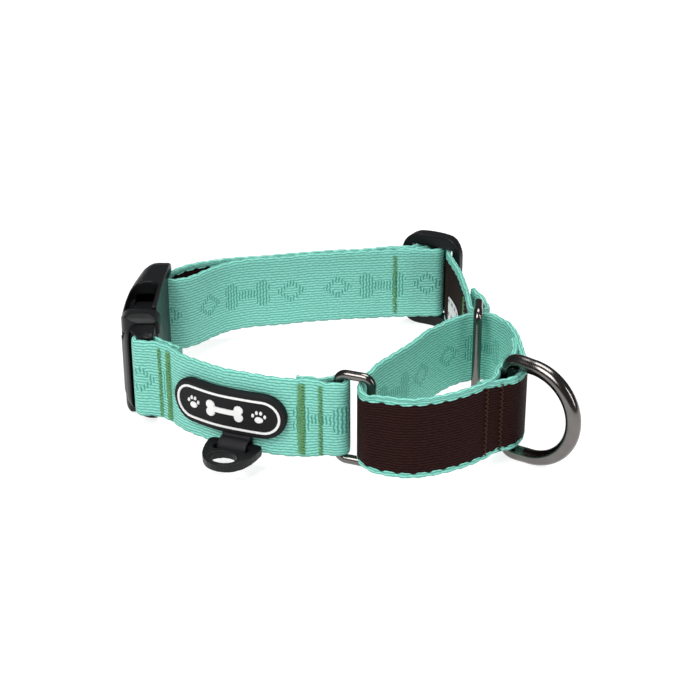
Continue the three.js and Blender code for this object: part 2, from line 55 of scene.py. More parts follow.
WEB_WIDTH = 25 * MM
WEB = 1.8 * MM  # thickness of one layer of webbing
LAYER = 2.0 * MM  # pitch of two layers sewn together
BAR_R = 1.5 * MM  # bars that webbing folds around
BAR_GAP = 0.25 * MM  # between a bar and its fold
FOLD_R = BAR_R + BAR_GAP + WEB / 2  # of a fold's centreline
OVER_R = 4.8 * MM  # of the strap that runs over the fold on the slider's bar
RING_R = 1.4 * MM  # wire of the rectangular rings
RING_HALF = 14.9 * MM  # half their height
RING_CORNER = 2.6 * MM  # their corners, along the wire's middle
LEASH_RING_R = 2.25 * MM  # wire of the leash ring
LEASH_RING_REACH = 7.2 * MM  # from its bar to where its round bow starts
LEASH_RING_TURN = math.radians(-37.5)
SQUEEZE = 0.85 * MM  # how far the webbing's edges dip where it fills a ring
PLAN_CENTRE = np.array([-2.8, -24.9])  # of the design's plan, in millimetres
STEP = 0.55 * MM  # spacing of the sections of a strap
COARSE_STEP = 2 * MM  # spacing of a route that is offset or counted along
ROUTE_STEP = 2.4 * MM  # spacing of a route before it is smoothed with its folds


def plan(*points):
    """Plan points given in millimetres, as points of the row frame in metres."""
    return (np.array(points, float) - PLAN_CENTRE) * MM


def plan_point(point):
    """One plan point given in millimetres, as a point of the row frame in metres."""
    return plan(point)[0]


MALE_BAR, FEMALE_BAR, RING_A_BAR, RING_B_BAR, SLIDER_BAR, D_BAR = plan(
    (-61.8, -44.5), (-61.5, 3.2), (-3.4, -71.2), (40.4, -18.6), (29, 30.6), (46, -64.4)
)
RING_A_FAR, RING_B_FAR = plan((6.1, -75), (39.3, -29.6))
SLIDER_TURN = math.radians(-30)

# centrelines of the webbing in plan
FRONT_ROUTE = plan(
    (-57.6, -47.9), (-54, -50.4), (-49, -56.1), (-42.5, -61.6), (-36.6, -65.6),
    (-29.7, -68.6), (-22.8, -70.9), (-15.9, -72.4), (-9.6, -73.2), (-5.6, -73.8),
)
BACK_ROUTE = plan(
    (-57.9, 9.4), (-55.2, 12.6), (-50.6, 15.8), (-46, 17.6), (-36, 20.4), (-22.5, 23.4),
    (-6, 26.6), (8, 29),
)
BACK_INNER_ROUTE = plan(
    (8, 26.7), (-6, 24.5), (-22.5, 21.3), (-34, 18.4), (-41.6, 15), (-46.8, 9.8),
    (-51.5, 4.4), (-55.3, 1.6),
)
SIDE_ROUTE = plan((34.6, 17), (36, 9), (36.9, -1), (37.6, -13))
SIDE_TAIL = plan((42.2, -13.5), (40.6, -9.8), (39.6, -5.8))
# the middle of each place where a ring squeezes the webbing, ring B's at both its ends of travel
SQUEEZED = plan((1.4, -73.1), (39.9, -24.1), (31.7, -29.8), (47.5, -66))
LOOP_ROUTE = plan(
    (2.9, -76.5), (4.8, -81.4), (10, -84), (16.4, -85.2), (25, -83), (33, -78.6),
    (40.5, -73), (47.7, -68.4), (50.4, -62.4), (50.4, -51), (49.6, -39), (46.8, -29.6),
    (44.4, -25.2), (41.3, -23.6), (37.4, -24.6), (31.4, -28.8), (26, -35), (22.4, -41),
    (17.8, -48.6), (12.6, -56.4), (7.4, -63.4), (4, -69.6),
)
LOOP_END_ROUTE = plan(
    (36.2, -74.6), (39.4, -71.8), (41.8, -67.6), (42.8, -63), (45.2, -58.8), (48.3, -53.6),
    (48.8, -45),
)

# places on the adjusting strap in plan, in millimetres
SOCKET_FOLD = (-64, 3)  # the outside of its turn about the socket's bar
JOIN_INNER, JOIN_OUTER, CORNER = (-8, 24.2), (-8, 26.2), (34.3, 18.5)  # where its runs join
SIDE_START, SIDE_END = (35, 15), (37.3, -9)  # where its last run starts and stops bending


# ---- plan curves -----------------------------------------------------------------------------
def smooth(points, spacing, closed=False):
    """Evenly spaced points on a smooth (centripetal Catmull-Rom) curve through the points."""
    p = np.asarray(points, float)
    if closed:
        run = np.vstack([p[-1], p, p[0], p[1]])
    else:
        run = np.vstack([2 * p[0] - p[1], p, 2 * p[-1] - p[-2]])
    t = np.linspace(0, 1, 24, endpoint=False)[:, None]
    parts = []
    for a, b, c, d in zip(run[:-3], run[1:-2], run[2:-1], run[3:]):
        ab, bc, cd = (math.sqrt(np.linalg.norm(q - r)) for q, r in ((b, a), (c, b), (d, c)))
        leave = bc * ((b - a) / ab - (c - a) / (ab + bc) + (c - b) / bc)
        reach = bc * ((c - b) / bc - (d - b) / (bc + cd) + (d - c) / cd)
        parts.append(
            b + leave * t + (3 * (c - b) - 2 * leave - reach) * t**2
            + (2 * (b - c) + leave + reach) * t**3
        )
    dense = np.vstack([*parts, run[-2]])
    far = lengths(dense)
    even = np.linspace(0, far[-1], round(far[-1] / spacing) + 1)
    spaced = np.stack([np.interp(even, far, dense[:, k]) for k in range(p.shape[1])], axis=1)
    return spaced[:-1] if closed else spaced


def lengths(path):
    """How far along the path each of its points is."""
    return np.concatenate([[0], np.cumsum(np.linalg.norm(np.diff(path, axis=0), axis=1))])


def around(bar, radius, start, stop, steps):
    """Points of an arc about a bar, between two directions in degrees."""
    a = np.radians(np.linspace(start, stop, steps + 1))
    return bar + radius * np.stack([np.cos(a), np.sin(a)], axis=1)


def directions(path, closed=False):
    """Unit tangents of a path."""
    if closed:
        along = np.roll(path, -1, axis=0) - np.roll(path, 1, axis=0)
    else:
        along = np.gradient(path, axis=0)
    return along / np.linalg.norm(along, axis=1, keepdims=True)


def left_of(path, closed=False):
    """Unit vectors to the left of a plan path."""
    along = directions(path, closed)
    return np.stack([-along[:, 1], along[:, 0]], axis=1)


def beside(path, distance):
    """The plan path moved sideways, to its left for a positive distance."""
    return path + left_of(path) * distance


def threaded(*parts):
    """One smooth path from arcs about bars, kept as they are, and routes smoothed in between."""
    path = []
    for i, (kind, points) in enumerate(parts):
        if kind == "arc":
            path.append(points)
            continue
        before = [parts[i - 1][1][-1]] if i > 0 else []
        after = [parts[i + 1][1][0]] if i < len(parts) - 1 else []
        run = smooth([*before, *points, *after], ROUTE_STEP)
        path.append(run[len(before) : len(run) - len(after)])
    return smooth(np.vstack(path), STEP)


def on_slider(*places):
    """Plan points from places on the slider in millimetres: along it, and away from the neck."""
    c, s = math.cos(SLIDER_TURN), math.sin(SLIDER_TURN)
    return [SLIDER_BAR + MM * np.array([u * c - w * s, u * s + w * c]) for u, w in places]


FRONT_OUTER = smooth(FRONT_ROUTE, COARSE_STEP)
FRONT_INNER = beside(FRONT_OUTER, LAYER)
FRONT_PATH = threaded(
    ("route", FRONT_INNER[4:2:-1]),
    ("arc", around(MALE_BAR, FOLD_R, 62, 236, 12)),
    ("route", FRONT_OUTER),
    ("arc", around(RING_A_BAR, FOLD_R, 272, 462, 12)),
    ("route", FRONT_INNER[-3:-7:-1]),
)
SLIDER_TAB = on_slider((-14.5, -9.6), (-10, -7.5), (-6.2, -5.3), (-3.9, -2.6))
SLIDER_LEAVE = on_slider((-3.2, -5.2), (-6.4, -7.6), (-10, -9.8), (-14, -12))
SLIDER_OVER = on_slider((-11.8, -7), (-7.7, -4), (-5.4, -0.6))
INNER_ROUTE = [*SLIDER_LEAVE, *BACK_INNER_ROUTE]
ADJUST_PATH = threaded(
    ("route", SLIDER_TAB),
    ("arc", around(SLIDER_BAR, FOLD_R, 136, -74, 14)),
    ("route", INNER_ROUTE),
    ("arc", around(FEMALE_BAR, FOLD_R, 285, 85, 12)),
    ("route", [*BACK_ROUTE, *SLIDER_OVER]),
    ("arc", around(SLIDER_BAR, OVER_R, 118, -6, 9)),
    ("route", [*on_slider((7.5, -4)), *SIDE_ROUTE]),
    ("arc", around(RING_B_BAR, FOLD_R, 170, 375, 14)),
    ("route", SIDE_TAIL),
)
FRONT_FACE = smooth(FRONT_ROUTE, STEP)
INNER_FACE = smooth(INNER_ROUTE, STEP)
SIDE_FACE = smooth(SIDE_ROUTE, STEP)
LOOP_SEAM = 7  # the loop's drawn route is walked from the point by the leash ring
LOOP_PATH = smooth(np.roll(LOOP_ROUTE, -LOOP_SEAM, axis=0), STEP, closed=True)
LOOP_END_PATH = smooth(LOOP_END_ROUTE, STEP)


def place_on(path, point):
    """How far along the path the place nearest to a plan point is."""
    nearest = np.argmin(np.linalg.norm(path - point, axis=1))
    return lengths(path)[nearest]


def on_face(path, centre, side, across, up, out):
    """Points on a strap's face: across it from a place, at a height, out from its centreline.
    Side is 1 for the left face and -1 for the right one; across runs to the right as seen."""
    far = lengths(path)
    at = centre - side * np.asarray(across, float)
    spot = [np.interp(at, far, path[:, k]) for k in (0, 1)]
    normal = [np.interp(at, far, left_of(path)[:, k]) for k in (0, 1)]
    out = np.asarray(out, float)
    return np.stack(
        [
            spot[0] + side * out * normal[0],
            spot[1] + side * out * normal[1],
            np.broadcast_to(up, at.shape),
        ],
        axis=-1,
    )


# ---- meshes ----------------------------------------------------------------------------------
def finished(name, mesh, materials):
    """The object of a mesh, smooth shaded and facing out."""
    shape = bmesh.new()
    shape.from_mesh(mesh)
    bmesh.ops.recalc_face_normals(shape, faces=shape.faces)
    shape.to_mesh(mesh)
    shape.free()
    made = bpy.data.objects.new(name, mesh)
    bpy.context.scene.collection.objects.link(made)
    for material in materials:
        mesh.materials.append(material)
    return made


def grid_faces(rows, columns, wrap_rows, wrap_columns):
    """Quads of a grid of points, row by row."""
    r = np.arange(rows if wrap_rows else rows - 1)[:, None]
    c = np.arange(columns if wrap_columns else columns - 1)[None, :]
    r2, c2 = (r + 1) % rows, (c + 1) % columns
    corners = [r * columns + c, r2 * columns + c, r2 * columns + c2, r * columns + c2]
    return np.stack(np.broadcast_arrays(*corners), axis=-1).reshape(-1, 4)


def skin(name, points, materials, closed=False, slots=None, uv=None):
    """A closed skin over rings of points (rings, points in a ring, 3), capped unless closed.
    Slots give each column of faces its material, and uv holds a texture place per point."""
    rings, count = points.shape[:2]
    faces = grid_faces(rings, count, closed, True).tolist()
    smooth_faces = len(faces)
    if not closed:
        faces.append(list(range(count))[::-1])
        faces.append(list(range((rings - 1) * count, rings * count)))
    mesh = bpy.data.meshes.new(name)
    mesh.from_pydata(points.reshape(-1, 3).tolist(), [], faces)
    mesh.polygons.foreach_set("use_smooth", [i < smooth_faces for i in range(len(faces))])
    if slots is not None:
        per_face = np.zeros(len(faces), int)
        per_face[:smooth_faces] = np.tile(slots, smooth_faces // count)
        mesh.polygons.foreach_set("material_index", per_face)
    if uv is not None:
        layer = mesh.uv_layers.new(name="weave")
        loops = np.zeros(len(mesh.loops), int)
        mesh.loops.foreach_get("vertex_index", loops)
        layer.data.foreach_set("uv", uv.reshape(-1, 2)[loops].ravel())
    made = finished(name, mesh, materials)
    if not closed:
        mark_rims_sharp(mesh, smooth_faces)
    return made


def mark_rims_sharp(mesh, first_cap):
    """Keeps the shading of the side faces apart from that of the end caps."""
    rims = set()
    for cap in list(mesh.polygons)[first_cap:]:
        rims.update(cap.edge_keys)
    for edge in mesh.edges:
        edge.use_edge_sharp = edge.key in rims


def tube(name, points, radius, sides, outward, material, closed=False):
    """Round wire or thread along points. Outward is a direction that the points never run in."""
    along = directions(points, closed)
    side = np.cross(along, outward)
    side /= np.linalg.norm(side, axis=1, keepdims=True)
    lift = np.cross(side, along)
    a = np.linspace(0, 2 * math.pi, sides, endpoint=False)
    rings = (
        points[:, None]
        + radius * np.cos(a)[None, :, None] * side[:, None]
        + radius * np.sin(a)[None, :, None] * lift[:, None]
    )
    return skin(name, rings, [material], closed)


def band_section(half_width, half_thick, columns=26, arc_steps=7):
    """Outline of a flat band with round edges: (out, up, texture height, on the back)."""
    flat = half_width - half_thick
    up = np.linspace(-flat, flat, columns)
    turn = np.linspace(0, math.pi, arc_steps + 1)[1:-1]
    edge_out, edge_up = half_thick * np.cos(turn), flat + half_thick * np.sin(turn)
    edge_v = flat + half_thick * turn
    out = np.concatenate([np.full(columns, half_thick), edge_out, np.full(columns, -half_thick),
                          -edge_out])
    height = np.concatenate([up, edge_up, up[::-1], -edge_up])
    texture = np.concatenate([up, edge_v, up[::-1], -edge_v])
    back = np.zeros(len(out), int)
    back[columns + arc_steps - 1 : 2 * columns + arc_steps - 2] = 1
    return out, height, texture, back


# the webbing's unevenness, in millimetres
SELVEDGE_FROM, SELVEDGE_WIDE = 10.2, 2.0  # out from the middle of the width
SCALLOP, SCALLOP_DEPTH = 4.4, 0.13  # bumps along a selvedge
SWAY_LONG, SWAY_SHORT, SWAY_DEPTH = 31, 17.5, 0.1  # slow waves of the whole strap
DIP_FAR, DIP_RAMP = 13, 5  # where a ring's squeeze ends, and the length over which it fades
PINCH_SHARE, PINCH_LONG = 0.24, 1.5  # share of the thickness that stitches take up, and how far


def smoothstep(share):
    """A share from 0 to 1 with its start and end eased."""
    return share * share * (3 - 2 * share)


def webbing(name, path, face, span=None, closed=False, start=0.0, pinches=()):
    """A run of webbing standing on edge along a plan path. Face is 1 where the mint face is on
    the left of the path and -1 where it is on the right. Start moves the weave along, and
    pinches are the rows of stitches, as lengths along the path."""
    far = lengths(path)
    normal = left_of(path, closed) * face
    keep = slice(None) if span is None else slice(span[0], span[1] + 1)
    s, middle, normal = far[keep, None], path[keep], normal[keep]
    out, up, texture, back = (x[None, :] for x in band_section(WEB_WIDTH / 2, WEB / 2))
    selvedge = np.clip((np.abs(up) / MM - SELVEDGE_FROM) / SELVEDGE_WIDE, 0, 1) ** 2
    turn = 2 * math.pi * (s + start) / MM
    scallop = np.sin(turn / SCALLOP) + 0.5 * np.sin(turn / (SCALLOP / 2) + 1.2)
    sway = np.sin(turn / SWAY_LONG + 0.7) + 0.6 * np.sin(turn / SWAY_SHORT)
    edges = np.sign(up) * selvedge * scallop * SCALLOP_DEPTH * MM
    height = up + edges + sway * SWAY_DEPTH * MM
    to_ring = np.min([np.linalg.norm(middle - spot, axis=1) for spot in SQUEEZED], axis=0)
    dip = np.clip((DIP_FAR - to_ring / MM) / DIP_RAMP, 0, 1)[:, None]
    height = height * (1 - smoothstep(dip) * SQUEEZE / (WEB_WIDTH / 2))
    thin = np.ones_like(s)
    for pinch in pinches:
        thin -= PINCH_SHARE * np.exp(-(((s - pinch) / (PINCH_LONG * MM)) ** 2))
    thick = thin * (1 + 0.1 * selvedge * np.sin(turn / SCALLOP + 1.9))
    offset = out * thick
    points = np.empty((*offset.shape, 3))
    points[..., :2] = middle[:, None] + normal[:, None] * offset[..., None]
    points[..., 2] = MID_Z + height
    uv = np.stack(np.broadcast_arrays((s + start) / MM, texture / MM), axis=-1)
    return skin(name, points, [MINT, MINT_BACK], closed, back[0], uv)


EASE_PASSES = 8  # of smoothing, which rounds a moulded piece's edges


def moulded(name, node, material, voxel):
    """A fine moulded copy of a CAD node: same shape, with its edges eased."""
    made = bpy.data.objects.new(name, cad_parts[node].data.copy())
    bpy.context.scene.collection.objects.link(made)
    made.data.materials.clear()
    remesh = made.modifiers.new("fine", "REMESH")
    remesh.mode, remesh.voxel_size, remesh.use_smooth_shade = "VOXEL", voxel, True
    ease = made.modifiers.new("ease", "SMOOTH")
    ease.factor, ease.iterations = 0.5, EASE_PASSES
    evaluated = made.evaluated_get(bpy.context.evaluated_depsgraph_get())
    mesh = bpy.data.meshes.new_from_object(evaluated)
    made.modifiers.clear()
    made.data = mesh
    mesh.materials.clear()
    mesh.materials.append(material)
    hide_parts(node)
    return made


# ---- material building -----------------------------------------------------------------------
class Field:
    """A number that varies over a surface: an output socket of a material's node tree."""

    def __init__(self, tree, socket):
        self.tree, self.socket = tree, socket

    def math(self, operation, *others):
        node = self.tree.nodes.new("ShaderNodeMath")
        node.operation = operation
        for value, target in zip((self, *others), node.inputs):
            if isinstance(value, Field):
                self.tree.links.new(value.socket, target)
            else:
                target.default_value = value
        return Field(self.tree, node.outputs[0])

    def __add__(self, other):
        return self.math("ADD", other)

    def __sub__(self, other):
        return self.math("SUBTRACT", other)

    def __mul__(self, other):
        return self.math("MULTIPLY", other)

    def __abs__(self):
        return self.math("ABSOLUTE")

    def wave(self, period, phase=0.0):
        """Sine of this length, in periods."""
        return (self * (2 * math.pi / period) + phase).math("SINE")

    def ridge(self, period):
        """0 in the grooves at whole periods, and 1 on the rounded ridges between them."""
        return abs((self * (math.pi / period)).math("SINE"))

    def step(self, low, high):
        """0 below low and 1 above high, smooth in between."""
        node = self.tree.nodes.new("ShaderNodeMapRange")
        node.interpolation_type = "SMOOTHSTEP"
        self.tree.links.new(self.socket, node.inputs["Value"])
        node.inputs["From Min"].default_value = low
        node.inputs["From Max"].default_value = high
        return Field(self.tree, node.outputs[0])


class Surface:
    """A material under construction."""

    def __init__(self, name, **sockets):
        self.material = bpy.data.materials.new(name)
        self.material.use_nodes = True
        self.tree = self.material.node_tree
        self.shader = self.tree.nodes["Principled BSDF"]
        for socket, value in sockets.items():
            self.shader.inputs[socket.replace("_", " ")].default_value = value

    def weave_place(self):
        """Along and across the band, in millimetres."""
        node = self.tree.nodes.new("ShaderNodeUVMap")
        node.uv_map = "weave"
        split = self.tree.nodes.new("ShaderNodeSeparateXYZ")
        self.tree.links.new(node.outputs[0], split.inputs[0])
        self.weave = node.outputs[0]
        return Field(self.tree, split.outputs[0]), Field(self.tree, split.outputs[1])

    def noise(self, scale, detail=2.0, by_weave=False):
        """Noise over the surface: per metre of the object, or per millimetre of the weave."""
        node = self.tree.nodes.new("ShaderNodeTexNoise")
        node.inputs["Scale"].default_value = scale
        node.inputs["Detail"].default_value = detail
        if by_weave:
            self.tree.links.new(self.weave, node.inputs["Vector"])
        else:
            where = self.tree.nodes.new("ShaderNodeTexCoord")
            self.tree.links.new(where.outputs["Object"], node.inputs["Vector"])
        return Field(self.tree, node.outputs["Fac"])

    def blend(self, share, low, high):
        """A colour between two, each a colour or an earlier blend."""
        node = self.tree.nodes.new("ShaderNodeMix")
        node.data_type = "RGBA"
        self.tree.links.new(share.socket, node.inputs["Factor"])
        for colour, target in ((low, node.inputs[6]), (high, node.inputs[7])):
            if isinstance(colour, tuple):
                target.default_value = (*colour, 1)
            else:
                self.tree.links.new(colour, target)
        return node.outputs[2]

    def finish(self, colour=None, roughness=None, height=None, depth=0.0):
        if colour is not None:
            self.tree.links.new(colour, self.shader.inputs["Base Color"])
        if roughness is not None:
            self.tree.links.new(roughness.socket, self.shader.inputs["Roughness"])
        if height is not None:
            bump = self.tree.nodes.new("ShaderNodeBump")
            bump.inputs["Distance"].default_value = depth
            self.tree.links.new(height.socket, bump.inputs["Height"])
            self.tree.links.new(bump.outputs[0], self.shader.inputs["Normal"])
        return self.material


def bone_mask(x, y, half, knob):
    """1 inside a bone shape about 0, 0: a shank with two round knobs at each end."""
    far_x, far_y = abs(x) - half, abs(y) - knob * 0.85
    knobs = (far_x * far_x + far_y * far_y).math("SQRT") - knob
    shank = (abs(y) - knob * 0.6).math("MAXIMUM", abs(x) - half)
    return knobs.math("MINIMUM", shank).step(0.15, -0.15)


def repeated(x, pitch):
    """Signed distance from the nearest of the marks that stand a pitch apart."""
    return x - (x * (1 / pitch)).math("ROUND") * pitch


def ribs(surface, x, y, pitch):
    """Height of lengthwise ribs of webbing, each a row of slanted stitches."""
    drift = (surface.noise(0.22, 1.0, by_weave=True) - 0.5) * 0.7
    across = y + drift + x.wave(2.7) * 0.05
    row = (across * (1 / pitch)).math("FLOOR")
    rib = across.ridge(pitch).math("POWER", 0.7)
    stitch = (x + row * 0.83 + y * 0.5).ridge(2.3).math("POWER", 0.5)
    strands = surface.noise(3.2, 2.0, by_weave=True)
    return rib * (stitch * 0.3 + 0.7) * (strands * 0.3 + 0.85)


RIB_PITCH = 0.92  # from rib to rib of the webbing, in millimetres
MOTIF_PITCH = 47.0  # from bone to bone along the webbing, in millimetres
BROWN_EDGE = 10.55, 10.7  # millimetres from the middle of the back: brown up to here, then mint
WEAVE_DEPTH = 0.16 * MM
# light ends: the colours of the lit ribs; dark ends: painted shade in the grooves between the ribs,
# which random flecks also reach
MINT_LIGHT, MINT_DARK = (0.29, 0.74, 0.63), (0.065, 0.31, 0.235)
BROWN_LIGHT, BROWN_DARK = (0.034, 0.011, 0.010), (0.006, 0.002, 0.0018)


def woven_mint(surface, x, y):
    """Height and colour of the mint face, with tonal bones and diamonds woven crosswise, and
    painted shade in the grooves between the ribs.
    """
    plain = ribs(surface, x, y, RIB_PITCH)
    local = repeated(x, MOTIF_PITCH)
    bone = bone_mask(local, y, 5.6, 2.5)
    diamond_x = abs(local) - 15.5
    diamond = (abs(diamond_x) * 0.8 + abs(y)).step(4.4, 4.0)
    hollow = (abs(diamond_x) * 0.8 + abs(y)).step(2.6, 2.2)
    motif = (bone + diamond * (hollow * -1 + 1)).math("MINIMUM", 1.0)
    crosswise = (x + y.wave(2.8) * 0.1).ridge(1.05) * ((y + x * 0.35).ridge(1.3) * 0.35 + 0.65)
    height = plain + (crosswise - plain) * motif
    fleck = surface.noise(0.9, 3.0, by_weave=True)
    # colour darker where the weave is low: painted shade in the grooves, with random flecks and the
    # motif's own slightly darker tone
    tone = (height * 0.85 + (fleck - 0.5) * 0.35 - motif * 0.1).math("MAXIMUM", 0.0)
    return height, surface.blend(tone.step(0.05, 0.95), MINT_DARK, MINT_LIGHT)


def mint_material():
    surface = Surface("mint_webbing", Roughness=0.6, Specular_IOR_Level=0.25,
                      Sheen_Weight=0.06, Sheen_Roughness=0.4)
    x, y = surface.weave_place()
    height, colour = woven_mint(surface, x, y)
    return surface.finish(colour, None, height, WEAVE_DEPTH)


def mint_back_material():
    surface = Surface("brown_back_webbing", Roughness=0.65, Specular_IOR_Level=0.05)
    x, y = surface.weave_place()
    mint_height, mint = woven_mint(surface, x, y)
    brown_height = ribs(surface, x, y, RIB_PITCH * 0.92)
    fleck = surface.noise(0.8, 3.0, by_weave=True)
    # darker where the ribs are low: painted shade in the grooves, with random flecks
    tone = (brown_height * 0.8 + (fleck - 0.5) * 0.5).math("MAXIMUM", 0.0)
    brown = surface.blend(tone.step(0.1, 1.0), BROWN_DARK, BROWN_LIGHT)
    scallop = x.wave(SCALLOP) * 0.22 + x.wave(SCALLOP / 2, 1.2) * 0.1
    selvedge = (abs(y) + scallop).step(*BROWN_EDGE)
    height = brown_height + (mint_height - brown_height) * selvedge + selvedge * 0.9
    return surface.finish(surface.blend(selvedge, brown, mint), None, height, WEAVE_DEPTH)


def plastic_material():
    surface = Surface("black_plastic", Specular_IOR_Level=0.2)
    cloud = surface.noise(160, 3.0)
    grain = surface.noise(5200, 2.0)
    rough = cloud * 0.14 + grain * 0.1 + 0.26
    colour = surface.blend(cloud, (0.005, 0.0053, 0.006), (0.009, 0.0094, 0.01))
    return surface.finish(colour, rough, grain, 0.012 * MM)


def metal_material():
    surface = Surface("gunmetal", Metallic=1.0)
    cloud = surface.noise(220, 2.0)
    grain = surface.noise(3800, 3.0)
    colour = surface.blend(cloud, (0.13, 0.12, 0.112), (0.18, 0.167, 0.16))
    return surface.finish(colour, cloud * 0.08 + grain * 0.07 + 0.1, grain, 0.002 * MM)


def ribbon_material():
    surface = Surface("black_ribbon", Roughness=0.5, Specular_IOR_Level=0.2)
    x, y = surface.weave_place()
    height = x.ridge(0.42).math("POWER", 0.6) * (y.ridge(0.3) * 0.3 + 0.7)
    # lighter on the ribs, darker in the grooves between them: painted shade
    colour = surface.blend(height, (0.004, 0.004, 0.005), (0.02, 0.02, 0.023))
    return surface.finish(colour, None, height, 0.05 * MM)


def rubber_material():
    surface = Surface("black_rubber", Specular_IOR_Level=0.12)
    grain = surface.noise(2600, 3.0)
    cloud = surface.noise(140, 2.0)
    colour = surface.blend(cloud, (0.008, 0.008, 0.0088), (0.0135, 0.0135, 0.0145))
    return surface.finish(colour, cloud * 0.12 + 0.52, grain, 0.02 * MM)


def white_rubber_material():
    surface = Surface("white_rubber", Specular_IOR_Level=0.4)
    cloud = surface.noise(300, 2.0)
    grain = surface.noise(2600, 2.0)
    colour = surface.blend(cloud, (0.78, 0.78, 0.765), (0.87, 0.87, 0.86))
    return surface.finish(colour, cloud * 0.1 + 0.42, grain, 0.01 * MM)


def label_material():
    surface = Surface("woven_label", Roughness=0.75, Specular_IOR_Level=0.3)
    x, y = surface.weave_place()
    weave = x.ridge(0.3) * y.ridge(0.24)
    # lighter on the threads, darker in the weave's hollows: painted shade
    cloth = surface.blend(weave, (0.6, 0.6, 0.6), (0.86, 0.86, 0.86))
    local_x, local_y = repeated(x, 4.0), repeated(y, 4.6)
    print_mask = bone_mask(local_x, local_y, 0.75, 0.42)
    return surface.finish(surface.blend(print_mask, cloth, (0.16, 0.16, 0.17)), None, weave,
                          0.04 * MM)


def thread_material(name, low, high):
    surface = Surface(name, Roughness=0.55, Specular_IOR_Level=0.15)
    twist = surface.noise(2100, 3.0)
    cloud = surface.noise(420, 2.0)
    tone = (twist * 0.6 + cloud * 0.6 - 0.1).math("MAXIMUM", 0.0)
    return surface.finish(surface.blend(tone, low, high), None, twist, 0.05 * MM)


MINT = mint_material()
MINT_BACK = mint_back_material()
PLASTIC = plastic_material()
METAL = metal_material()
RIBBON = ribbon_material()
RUBBER = rubber_material()
WHITE = white_rubber_material()
LABEL = label_material()
GREEN_THREAD = thread_material("green_thread", (0.05, 0.2, 0.07), (0.22, 0.46, 0.2))
BROWN_THREAD = thread_material("brown_thread", (0.02, 0.008, 0.005), (0.07, 0.026, 0.014))


def place(made, body, slot, *nodes):
    """Puts a piece on its body and hides the CAD nodes that it stands for. The slot is not used.
    A piece that lies between bodies is given none and is left unattached."""
    if nodes:
        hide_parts(*nodes)
    if body is not None:
        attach(made, body)
    return made


# ---- webbing ---------------------------------------------------------------------------------
TACKS = {  # name: (face path, plan place, side, width, height, thread, pitch)
    "tack_buckle_narrow": (FRONT_FACE, (-56.4, -48.6), -1, 1.2, 22.6, GREEN_THREAD, 0.62),
    "tack_buckle_wide": (FRONT_FACE, (-53, -51.3), -1, 2.6, 22.6, GREEN_THREAD, 0.46),
    "tack_ring_a_wide": (FRONT_FACE, (-14, -72.6), -1, 2.3, 22.6, GREEN_THREAD, 0.46),
    "tack_ring_a_narrow": (FRONT_FACE, (-8.2, -73.3), -1, 1.2, 22.6, GREEN_THREAD, 0.62),
    "tack_slider_fold": (INNER_FACE, (15.6, 27.2), 1, 1.3, 21.0, GREEN_THREAD, 0.7),
    "tack_ring_b": (SIDE_FACE, (37.2, -8.5), -1, 1.3, 21.0, GREEN_THREAD, 0.7),
    "tack_loop_left": (LOOP_PATH, (38.2, -74.6), -1, 1.0, 21.5, BROWN_THREAD, 0.7),
    "tack_loop_right": (LOOP_PATH, (42.4, -71.4), -1, 1.0, 21.5, BROWN_THREAD, 0.7),
}


TACK_REACH = 3 * MM  # a tack joins the layers that come this near to it


def tack_places(path, *names):
    """How far along a strap's path its tacks are, on both layers that they join."""
    found = []
    for name in names:
        spot = plan_point(TACKS[name][1])
        near = np.flatnonzero(np.linalg.norm(path - spot, axis=1) < TACK_REACH)
        for run in np.split(near, np.flatnonzero(np.diff(near) > 1) + 1):
            closest = run[np.argmin(np.linalg.norm(path[run] - spot, axis=1))]
            found.append(lengths(path)[closest])
    return found


def nearest_index(path, point, after=0, before=None):
    """Index of the path point nearest to a point, within part of the path."""
    stretch = path[after:before]
    return after + int(np.argmin(np.linalg.norm(stretch - point, axis=1)))


def front_strap():
    pinches = tack_places(FRONT_PATH, "tack_buckle_narrow", "tack_buckle_wide",
                          "tack_ring_a_wide", "tack_ring_a_narrow")
    made = webbing("front_strap_webbing", FRONT_PATH, -1, start=8.5 * MM, pinches=pinches)
    place(made, "collar", "webbing", "front_strap")


def adjust_strap():
    """The adjusting strap, in runs that join where nothing moves or where both ends move as one."""
    path = ADJUST_PATH
    fold = nearest_index(path, plan_point(SOCKET_FOLD))
    inner = nearest_index(path, plan_point(JOIN_INNER), 0, fold)
    outer = nearest_index(path, plan_point(JOIN_OUTER), fold)
    hump = nearest_index(path, on_slider((0.5, 4.8))[0], outer)
    corner = nearest_index(path, plan_point(CORNER), hump)
    pinches = tack_places(path, "tack_slider_fold", "tack_ring_b")
    runs = [  # (name, first and last point, body, plan places where its bend starts and ends)
        ("adjust_strap_tab", 0, inner, "slider", JOIN_INNER, (14, 28.6)),
        ("adjust_strap_socket_end", inner, outer, "buckle_socket", (-8, 25.2), (-54, 11)),
        ("adjust_strap_over", outer, hump, "slider", JOIN_OUTER, (16, 31)),
        ("adjust_strap_corner", hump, corner, "slider", CORNER, (33, 28.5)),
        ("adjust_strap_side", corner, len(path) - 1, "strap_end", SIDE_START, SIDE_END),
    ]
    for name, first, last, body, start, end in runs:
        made = webbing(name, path, 1, (first, last), start=2 * MM, pinches=pinches)
        place(made, None, "webbing", "adjust_strap")
        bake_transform(made)


def control_loop():
    pinches = tack_places(LOOP_PATH, "tack_loop_left", "tack_loop_right")
    band = webbing("control_loop_band", LOOP_PATH, 1, closed=True, pinches=pinches)
    place(band, "collar", "webbing", "control_loop")
    pinches = tack_places(LOOP_END_PATH, "tack_loop_left", "tack_loop_right")
    end = webbing("control_loop_end", LOOP_END_PATH, 1, start=11 * MM, pinches=pinches)
    place(end, "collar", "webbing", "control_loop")


front_strap()
adjust_strap()
control_loop()


# ---- sewing ----------------------------------------------------------------------------------
THREAD_R = 0.19 * MM


